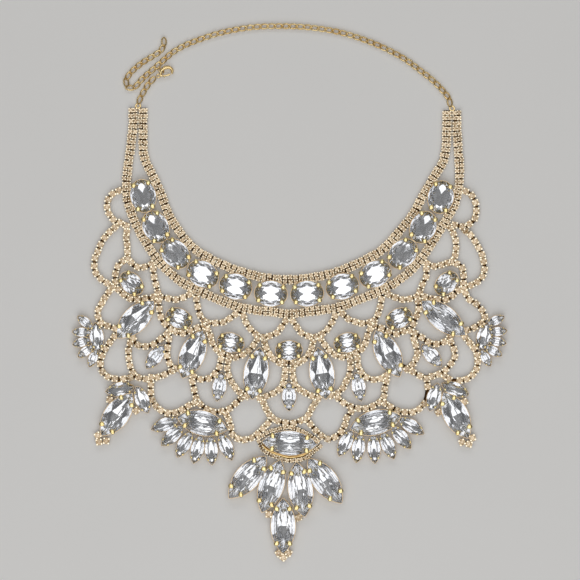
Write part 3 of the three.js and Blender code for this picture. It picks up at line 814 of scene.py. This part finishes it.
def crystal():
    """Clear cut glass, very slightly uneven in tint and polish."""
    name = "cut_crystal"
    if name in bpy.data.materials:
        return bpy.data.materials[name]
    made, tree, shader, place = new_material(name)
    shader["Transmission Weight"].default_value = 1.0
    shader["IOR"].default_value = 1.56
    shader["Metallic"].default_value = 0.0
    cloud = noise(tree, place, 90, 1)
    feed(tree, shader["Base Color"], blend(tree, cloud, (*looks().crystal, 1), (0.95, 0.97, 1, 1)))
    feed(tree, shader["Roughness"], ranged(tree, cloud, To_Max=0.03))
    return made


def paper():
    """The pale paper that the necklace lies on."""
    made, tree, shader, place = new_material("pale_paper")
    shader["Roughness"].default_value = 0.85
    fibre = noise(tree, place, 14, 4)
    darker = [c * 0.97 for c in looks().floor]
    feed(tree, shader["Base Color"], blend(tree, fibre, (*looks().floor, 1), (*darker, 1)))
    return made


# -------- patterns, made once in mm


def flute(obj, middle, half, top):
    """A shallow groove along the back of a stone, at a distance from its long axis and below a level."""
    bpy.ops.mesh.select_mode(type="VERT")
    for across in (middle - half, middle + half, middle):
        bpy.ops.mesh.select_all(action="SELECT")
        bpy.ops.mesh.bisect(plane_co=(0, across, 0), plane_no=(0, 1, 0))
    select_edges(obj, lambda a, b: all(abs(v.y - middle) < 0.01 and v.z < top for v in (a, b)))
    move(0, 0, half * math.tan(math.radians(FLUTE_SLOPE)))


def lean_plane(point, way, slope):
    """Cuts a facet through a point: it falls away in a direction, at a slope from the level in degrees."""
    cut_plane(point, (*way, math.copysign(1, slope) / math.tan(math.radians(abs(slope)))))


def stone_pattern(cut, girdle, culet):
    """A faceted stone: a block cut by its upright sides, its crown, its table and its foiled back."""
    size = CUTS[cut]
    crown = size.crown
    back = girdle - GIRDLE_THICK
    obj = cube(cut, size=2)
    resize(size.long * 0.6, size.wide * 0.6, girdle + crown + 1)
    for way, distance in upright_sides(cut):
        cut_plane((*(way * distance), girdle), (*way, 0))
    for shares, start, slope in CROWNS[size.facets]:
        for way, distance in tangents(cut, shares):
            cut_plane((*(way * distance * start), girdle), (*way, slope * distance / crown))
    cut_plane((0, 0, girdle + crown), (0, 0, 1))
    for shares, slope in STEEP_BACK[size.facets]:
        for way, distance in tangents(cut, shares):
            lean_plane((*(way * distance), back), way, -slope)
    for side in () if size.oval else (1, -1):
        point = side * size.long / 2
        lean_plane((point, 0, girdle + crown * POINT_RISE), (side, 0), POINT_CROWN)
        lean_plane((point, 0, back), (side, 0), -POINT_BACK)
    for angle, slope, below in BROAD_BACK[size.facets]:
        angle = math.radians(angle)
        lean_plane((0, 0, culet - below), (math.cos(angle), math.sin(angle)), -slope)
    for middle, half in FLUTES.get(size.facets, ()):
        flute(obj, middle, half, back - 0.3)
    face_outward()
    end(obj, crystal(), metal("silver_foil"))
    return obj


def setting_pattern(cut, girdle):
    """A closed metal cup with the stone's outline, hollowed for the stone's back."""
    size = CUTS[cut]
    high = girdle - 0.1
    rim = SEAT_RIM if size.wide > WIDE_STONE else SMALL_RIM
    obj = cube("setting", size=2)
    resize(size.long * 0.6 + 1, size.wide * 0.6 + 1, high / 2)
    move(0, 0, high / 2)
    for way, distance in upright_sides(cut):
        cut_plane((*(way * (distance + rim)), 0), (*way, 0))
    for side in () if size.oval else (1, -1):
        cut_plane((side * (size.long / 2 + size.tip), 0, 0), (side, 0, 0))
    select_faces(obj)
    bpy.ops.mesh.inset(thickness=rim * 0.8)
    extrude(0, 0, SEAT_FLOOR - high)
    face_outward()
    end(obj, metal("champagne_plate"))
    return obj


def claw_pattern():
    """One claw of a setting: a prong up the wall, ending in a bead over the stone's edge. Outward is +X."""
    prong = cube("claw", size=1)
    resize(0.45, 1.3, 2.2)
    move(0.35, 0, -0.9)
    select_faces(prong)
    extrude(-0.5, 0, 0.6)
    end(prong)
    bead = begin("claw_bead", bpy.ops.mesh.primitive_uv_sphere_add, segments=10, ring_count=6, radius=1.2)
    resize(1.2, 1, 0.36)
    move(-0.6, 0, 0.8)
    end(bead)
    claw = joined("claw", [prong, bead])
    smooth(claw, 50)
    # The claws' gold is lighter than the settings' plate, a painted highlight.
    claw.data.materials.append(metal("bright_gold_plate"))
    return claw


def cup_pattern(name, wide, high):
    """A small claw cup: four walls with cut corners, a hollow for its stone, and a claw at each corner."""
    wall = high * CUP_WALL
    obj = cube(name, size=1)
    resize(wide, wide, wall)
    move(0, 0, wall / 2)
    select_edges(obj, lambda a, b: abs(a.z - b.z) > wall / 2)
    bpy.ops.mesh.bevel(offset=wide * 0.2, segments=1, affect="EDGES")
    select_faces(obj)
    bpy.ops.mesh.inset(thickness=wide * 0.06)
    extrude(0, 0, -wall * 0.75)
    resize(0.4, 0.4, 1)
    end(obj, metal("champagne_plate"))
    parts = [obj]
    for k in range(4):
        angle = math.radians(45 + 90 * k)
        way = Vector((math.cos(angle), math.sin(angle))) * wide
        claw = cube(name + "_claw", size=1, rotation=(0, 0, angle))
        resize(wide * 0.29, wide * 0.29, high * 0.45)
        move(*(way * 0.54), high * 0.63)
        select_faces(claw)
        extrude(*(way * -0.02), high * 0.09)
        resize(0.78, 0.78, 1)
        # The claws get a lighter metal than the cup, a painted highlight.
        end(claw, metal("champagne_claw"))
        parts.append(claw)
    cup = joined(name, parts)
    bpy.ops.object.transform_apply(location=True, rotation=True, scale=True)
    return cup


def cup_stone_pattern(name, wide, high):
    """The small stone of a claw cup: a table, eight crown facets and eight back facets."""
    radius = wide * 0.44
    obj = begin(name, bpy.ops.mesh.primitive_cylinder_add, vertices=8, radius=radius, depth=0.1)
    move(0, 0, high * CUP_WALL)
    select_faces(obj)
    extrude(0, 0, radius * 0.25)
    resize(0.6, 0.6, 1)
    select_faces(obj, -1)
    extrude(0, 0, -radius * 0.9 * math.tan(math.radians(CUP_STONE_STEEP)))
    resize(0.1, 0.1, 1)
    end(obj, crystal(), metal("champagne_foil"))
    return obj


def solder_pattern():
    """A flat drop of solder."""
    ball = bpy.ops.mesh.primitive_uv_sphere_add
    obj = begin("solder_spot", ball, segments=10, ring_count=6, radius=SOLDER_RADIUS)
    resize(1, 1, 0.66)
    move(0, 0, SOLDER_RADIUS * 0.66)
    end(obj, metal("solder"))
    return obj


def link_pattern(long):
    """One curb link: a wire oval, twisted along the chain so that the next one lies through it."""
    a, b = (long - LINK_WIRE) / 2, (LINK_WIDE - LINK_WIRE) / 2
    ring = [(a * x, b * math.copysign(abs(y) ** LINK_CORNER, y)) for x, y in circle(20)]
    obj = wire("link", [ring], LINK_WIRE / 2, 0, closed=True, sides=1)
    twist = obj.modifiers.new("twist", "SIMPLE_DEFORM")
    twist.deform_method = "TWIST"
    twist.deform_axis = "X"
    twist.angle = math.radians(LINK_TWIST)
    bpy.ops.object.modifier_apply(modifier=twist.name)
    obj.data.materials.append(metal("warm_gold_plate"))
    return obj


def cast(name, parts, place, angle=50):
    """A piece of smooth gold wirework in its place."""
    made = joined(name, parts)
    made.data.transform(place)
    made.data.materials.append(metal("warm_gold_plate"))
    smooth(made, angle)
    return made


# -------- settings that a user would change


SWATCH = {"subtype": "COLOR", "min": 0, "max": 1}


class NecklaceLooks(bpy.types.PropertyGroup):
    """Sizes and colours of the necklace"""

    row_pitch: FloatProperty(
        name="Row Pitch", description="Distance from cup to cup in a single row",
        default=3.55 * MM, min=3.2 * MM, max=4.5 * MM, unit="LENGTH",
    )
    row_cup: FloatProperty(
        name="Row Cup", description="Width of a cup in a single row",
        default=2.95 * MM, min=2 * MM, max=3.5 * MM, unit="LENGTH",
    )
    pair_pitch: FloatProperty(
        name="Pair Pitch", description="Distance from cup to cup in a double row",
        default=2.54 * MM, min=2.3 * MM, max=3 * MM, unit="LENGTH",
    )
    pair_cup: FloatProperty(
        name="Pair Cup", description="Width of a cup in a double row",
        default=2.0 * MM, min=1.5 * MM, max=2.3 * MM, unit="LENGTH",
    )
    link_pitch: FloatProperty(
        name="Link Pitch", description="Distance from link to link in the chains",
        default=3.45 * MM, min=3 * MM, max=4 * MM, unit="LENGTH",
    )
    plate: FloatVectorProperty(
        name="Plate", description="Colour of the plating on cups and settings",
        default=(0.76, 0.58, 0.36), **SWATCH,
    )
    plate_deep: FloatVectorProperty(
        name="Deep Plate", description="Colour of the plating where it is warmer",
        default=(0.5, 0.34, 0.17), **SWATCH,
    )
    plate_gloss: FloatProperty(
        name="Plate Roughness", description="Roughness of the plating on cups and settings",
        default=0.2, min=0, max=1, subtype="FACTOR",
    )
    chain: FloatVectorProperty(
        name="Chain", description="Colour of the chains and the clasp",
        default=(0.93, 0.74, 0.4), **SWATCH,
    )
    chain_deep: FloatVectorProperty(
        name="Deep Chain", description="Colour of the chains and the clasp where the plating is warmer",
        default=(0.8, 0.56, 0.24), **SWATCH,
    )
    crystal: FloatVectorProperty(
        name="Crystal", description="Tint of the cut glass",
        default=(1, 1, 1), **SWATCH,
    )
    floor: FloatVectorProperty(
        name="Floor", description="Colour of the surface that the necklace lies on",
        default=(0.9, 0.89, 0.87), **SWATCH,
    )


# -------- the pieces


class NECKLACE_OT_stage(bpy.types.Operator):
    """Make the floor, the lights and the camera"""

    bl_idname = "necklace.stage"
    bl_label = "Stage"

    def execute(self, context):
        floor = begin("floor", bpy.ops.mesh.primitive_plane_add, size=4)
        bpy.ops.mesh.subdivide(number_cuts=3)
        end(floor, paper())

        world = bpy.data.worlds.new("studio")
        context.scene.world = world
        world.use_nodes = True
        sky = world.node_tree.nodes["Background"].inputs
        sky["Color"].default_value = (1, 1, 1, 1)
        sky["Strength"].default_value = WORLD_LIGHT

        for name, place, size, power in LAMPS:
            data = bpy.data.lights.new(name, "AREA")
            data.shape = "RECTANGLE"
            data.size, data.size_y = size
            data.energy = power
            lamp = add_object(name, data)
            lamp.location = place
            lamp.rotation_euler = (-Vector(place)).to_track_quat("-Z", "Y").to_euler()

        data = bpy.data.cameras.new("camera")
        data.type = "PERSP"
        data.sensor_width = SENSOR
        data.lens = SENSOR * CAMERA_FAR / VIEW_WIDE
        camera = add_object("camera", data)
        camera.location = CAMERA_PLACE
        context.scene.camera = camera
        context.scene.view_settings.view_transform = "Standard"
        # Light goes back and forth many times inside a foiled stone before it comes out.
        context.scene.cycles.max_bounces = 16
        context.scene.cycles.glossy_bounces = 12
        return {"FINISHED"}


def within_stone(x, y, margin):
    """Whether a point lies over a stone's setting or nearer to it than a margin."""
    for cut, sx, sy, turn in [row[1:] for row in large_stones()] + small_stones():
        size = CUTS[cut]
        if math.hypot(x - sx, y - sy) > size.long / 2 + margin:
            continue
        away = Matrix.Rotation(math.radians(-turn), 2) @ Vector((x - sx, y - sy))
        a, b = size.long / 2 + margin, size.wide / 2 + margin
        if size.oval:
            if (away.x / a) ** 2 + (away.y / b) ** 2 < 1:
                return True
        elif abs(away.x) < a:
            radius = arc_radius(a, b)
            if math.hypot(away.x, abs(away.y) + radius - b) < radius:
                return True
    return False


def pair_places():
    """Places for the cups of the collar's double rows, side by side in twos."""
    places = []
    for route in COLLAR_PAIRS.values():
        for point, way in along(both_ways(route), looks().pair_pitch / MM):
            for offset in (-PAIR_SPREAD, PAIR_SPREAD):
                places.append((*(point + Vector((-way.y, way.x)) * offset), heading(way)))
    return places


def unevenly(places, seed):
    """The matrices of a row's cups, each turned and tipped a little by its soldering."""
    draw = random.Random(seed)
    matrices = []
    for x, y, turn in places:
        lean, tip, twist = [draw.uniform(-CUP_LEAN, CUP_LEAN) for _ in range(3)]
        matrices.append(at(x, y, turn + twist, CUP_LIFT) @ rotation(lean, "X") @ rotation(tip, "Y"))
    return matrices


def free_stretches(route, taken, clear, margin):
    """The stretches of a route that are clear of the cups and stones already in place."""
    stretches = [[]]
    for point in smooth_route(route, 12):
        x, y = point
        if any(math.hypot(x - u, y - v) < clear for u, v in taken) or within_stone(x, y, margin):
            stretches.append([])
        else:
            stretches[-1].append(point)
    return [stretch for stretch in stretches if len(stretch) > 1]


def filled(route, taken, pitch, clear, margin):
    """Places for a strand of cups that fills each free stretch of its route evenly from end to end."""
    places = []
    for line in free_stretches(route, taken, clear, margin):
        # As many cups as there is room for, and never much further apart than the pitch.
        total = distances(line)[-1]
        steps = int(total / pitch + 0.35)
        gap = min(total / steps, pitch * 1.1) if steps else 0
        for point, way in evenly(line, (total - steps * gap) / 2, gap, steps + 1):
            places.append((*point, heading(way)))
    taken += [place[:2] for place in places]
    return places


def backing(name, routes, wide, look="dark_brass", level=BACK_LEVEL):
    """The flat strip of solder and cup bottoms that holds a row together from below. Its default near-black
    brass is painted shade in the gaps between the cups.
    """
    strip = wire(name, [smooth_route(route, 5) for route in routes], wide / 2, 0, sides=0)
    strip.data.transform(at(0, 0, 0, level) @ Matrix.Diagonal((1, 1, BACK_THICK / wide, 1)))
    strip.data.materials.append(metal(look))
    finish_piece(strip)


def lay_cups(kind, wide, high, matrices, replaces=()):
    """The cups of the rows of a kind as one piece, and their stones as another."""
    cup = cup_pattern(kind + "_cup", wide, high)
    stone = cup_stone_pattern(kind + "_stone", wide, high)
    cups = laid_out(kind + "_row_cups", cup, matrices)
    stones = laid_out(kind + "_row_crystals", stone, matrices)
    drop_patterns(cup, stone)
    finish_piece(cups, replaces=replaces)
    finish_piece(stones)


class NECKLACE_OT_double_rows(bpy.types.Operator):
    """Make the double rows of the collar and straps, and the halo round the middle drop's crossbar"""

    bl_idname = "necklace.double_rows"
    bl_label = "Double Rows"

    def execute(self, context):
        halo, taken = [], []
        for route in DROP_HALO:
            halo += filled(route, taken, HALO_PITCH, *HALO_ROOM)
        matrices = unevenly(pair_places(), 1)
        matrices += [place @ Matrix.Scale(HALO_CUP, 4) for place in unevenly(halo, 3)]
        lay_cups("double", looks().pair_cup / MM, PAIR_HIGH, matrices, ["soldered_net"])
        backing("double_row_backs", [both_ways(route) for route in COLLAR_PAIRS.values()], PAIR_BACK)
        backing("halo_backs", DROP_HALO, ROW_BACK)
        backing("halo_band", [HALO_BAND], ROW_BACK, "solder", BAND_LEVEL)
        return {"FINISHED"}


class NECKLACE_OT_single_rows(bpy.types.Operator):
    """Make the single rows that form the loops of the bib, and the single cups"""

    bl_idname = "necklace.single_rows"
    bl_label = "Single Rows"

    def execute(self, context):
        places = set_out(LEFT_CUPS, RIGHT_CUPS) + DROP_CUPS
        taken = [place[:2] for place in pair_places() + places]
        for route in single_rows():
            places += filled(route, taken, looks().row_pitch / MM, *ROW_ROOM)
        lay_cups("single", looks().row_cup / MM, ROW_HIGH, unevenly(places, 2))
        backing("single_row_backs", single_rows(), ROW_BACK)

        spots = [placed(-1, *spot) for spot in LEFT_SOLDER] + [placed(1, *spot) for spot in RIGHT_SOLDER]
        drop = solder_pattern()
        solder = laid_out("solder_spots", drop, [at(*spot) for spot in spots + DROP_SOLDER])
        drop_patterns(drop)
        smooth(solder, 60)
        finish_piece(solder)
        return {"FINISHED"}


class NECKLACE_OT_settings(bpy.types.Operator):
    """Make the closed settings of the stones and their claws"""

    bl_idname = "necklace.settings"
    bl_label = "Settings"

    def execute(self, context):
        claw = claw_pattern()
        groups = {}
        for _, cut, x, y, turn in large_stones():
            groups.setdefault((cut, GIRDLE), []).append((x, y, turn))
        for cut, x, y, turn in small_stones():
            groups.setdefault((cut, SMALL_GIRDLE), []).append((x, y, turn))
        for number, ((cut, girdle), rows) in enumerate(groups.items()):
            pattern = setting_pattern(cut, girdle)
            wide = CUTS[cut].wide
            size = Matrix.Scale(min(1, wide / (WIDE_CLAW if wide > WIDE_STONE else NARROW_CLAW)), 4)
            claws = []
            for share in OVAL_CLAWS if CUTS[cut].oval else NAVETTE_CLAWS:
                for side in (1, -1):
                    point, way = on_outline(cut, share, side)
                    claws.append(Matrix.Translation((*point, girdle)) @ rotation(heading(way)) @ size)
            pattern = joined("setting", [pattern, laid_out("claws", claw, claws)])
            piece = laid_out(f"{cut}_settings_{number + 1}", pattern, [at(*row) for row in rows])
            drop_patterns(pattern)
            finish_piece(piece)
        drop_patterns(claw)
        return {"FINISHED"}


class NECKLACE_OT_large_stones(bpy.types.Operator):
    """Make the large crystals, each a piece of its own"""

    bl_idname = "necklace.large_stones"
    bl_label = "Large Stones"

    def execute(self, context):
        patterns = {}
        for name, cut, x, y, turn in large_stones():
            if cut not in patterns:
                patterns[cut] = stone_pattern(cut, GIRDLE, CULET)
            stone = laid_out(name + "_crystal", patterns[cut], [at(x, y, turn)])
            finish_piece(stone, replaces=[name])
        drop_patterns(*patterns.values())
        return {"FINISHED"}


class NECKLACE_OT_small_stones(bpy.types.Operator):
    """Make the small navette stones of the wings, the fans and the side drops"""

    bl_idname = "necklace.small_stones"
    bl_label = "Small Stones"

    def execute(self, context):
        groups = {}
        for cut, x, y, turn in small_stones():
            groups.setdefault(cut, []).append(at(x, y, turn))
        for cut, places in groups.items():
            pattern = stone_pattern(cut, SMALL_GIRDLE, SMALL_CULET)
            stones = laid_out(f"small_{cut}_crystals", pattern, places)
            drop_patterns(pattern)
            finish_piece(stones)
        return {"FINISHED"}


class NECKLACE_OT_chains(bpy.types.Operator):
    """Make the curb chains, link by link"""

    bl_idname = "necklace.chains"
    bl_label = "Chains"

    def execute(self, context):
        pitch = looks().link_pitch / MM
        link = link_pattern(pitch + 2 * LINK_WIRE)
        for name, route in CHAINS.items():
            # The long chain's last link lies through the tail's first one.
            places = [
                at(*point, heading(way), LINK_LEVEL)
                for point, way in along(route, pitch, 0.5, 0.1 if name == "long_chain" else 0.6)
            ]
            chain = laid_out(name + "_links", link, places)
            smooth(chain, 60)
            finish_piece(chain, replaces=[name])
        drop_patterns(link)

        ends = [placed(side, *STRAP_END) for side in (-1, 1)]
        loops = [[(x + u, y + 0.5 + v) for u, v in circle(16, STRAP_LOOP)] for x, y in ends]
        loop = wire("strap_loops", loops, LINK_WIRE / 2, LINK_WIRE / 2 + 0.2, closed=True, sides=1)
        loop = cast("strap_loops", [loop], at(0, 0), 60)
        finish_piece(loop)
        return {"FINISHED"}


class NECKLACE_OT_clasp(bpy.types.Operator):
    """Make the lobster clasp, its lever and the link that it holds"""

    bl_idname = "necklace.clasp"
    bl_label = "Clasp"

    def execute(self, context):
        thick, level = CLASP_WIRES, CLASP_LEVEL
        route = smooth_route(CLASP_BACK, 4)
        # The back is fullest in the middle of its bow.
        full = [0.8 + 0.35 * math.sin(math.pi * min(1, i / len(route) * 1.15)) for i in range(len(route))]
        back = wire("clasp_back", [route], thick["back"], level, sides=3, radii=full)
        eye = wire("clasp_eye", [circle(16, CLASP_EYE)], thick["eye"], level, closed=True)
        neck = wire("clasp_neck", [CLASP_NECK], thick["neck"], level)
        body = cast("clasp_body_cast", [back, eye, neck], at(*CLASP))
        finish_piece(body, replaces=["clasp_body"])

        px, py = LEVER_PIVOT
        route = [(px + x, py + y) for x, y, _ in LEVER_ROUTE]
        full = [share for _, _, share in LEVER_ROUTE]
        arm = wire("lever_arm", [route], thick["arm"], level, radii=full)
        tab = wire("lever_tab", [[(px + x, py + y) for x, y in LEVER_TAB]], thick["tab"], level)
        lever = cast("clasp_lever_cast", [arm, tab], at(*CLASP))
        finish_piece(lever, body="lever", replaces=["clasp_lever"])

        oval = [(HOOKED_LONG / 2 * x, 0, HOOKED_HIGH / 2 * y) for x, y in circle(18)]
        place = at(*HOOKED_LINK) @ rotation(HOOKED_LEAN, "X")
        link = cast("hooked_link_wire", [wire("link", [oval], HOOKED_WIRE, 0, closed=True)], place)
        finish_piece(link, replaces=["hooked_link"])
        return {"FINISHED"}


class NECKLACE_PT_panel(bpy.types.Panel):
    """Lists the pieces of the necklace and their sizes and colours"""

    bl_idname = "NECKLACE_PT_panel"
    bl_label = "Statement Necklace"
    bl_space_type = "VIEW_3D"
    bl_region_type = "UI"
    bl_category = "Necklace"

    def draw(self, context):
        for operator in OPERATORS:
            self.layout.operator(operator.bl_idname)
        for name in NecklaceLooks.__annotations__:
            self.layout.prop(context.scene.necklace_looks, name)


OPERATORS = (
    NECKLACE_OT_stage,
    NECKLACE_OT_double_rows,
    NECKLACE_OT_single_rows,
    NECKLACE_OT_settings,
    NECKLACE_OT_large_stones,
    NECKLACE_OT_small_stones,
    NECKLACE_OT_chains,
    NECKLACE_OT_clasp,
)
CLASSES = (NecklaceLooks, *OPERATORS, NECKLACE_PT_panel)


def register():
    for item in CLASSES:
        bpy.utils.register_class(item)
    bpy.types.Scene.necklace_looks = PointerProperty(type=NecklaceLooks)


def unregister():
    del bpy.types.Scene.necklace_looks
    for item in reversed(CLASSES):
        bpy.utils.unregister_class(item)


def main():
    register()
    bpy.ops.necklace.stage()
    bpy.ops.necklace.double_rows()
    bpy.ops.necklace.single_rows()
    bpy.ops.necklace.settings()
    bpy.ops.necklace.large_stones()
    bpy.ops.necklace.small_stones()
    bpy.ops.necklace.chains()
    bpy.ops.necklace.clasp()


if __name__ == "__main__":
    main()
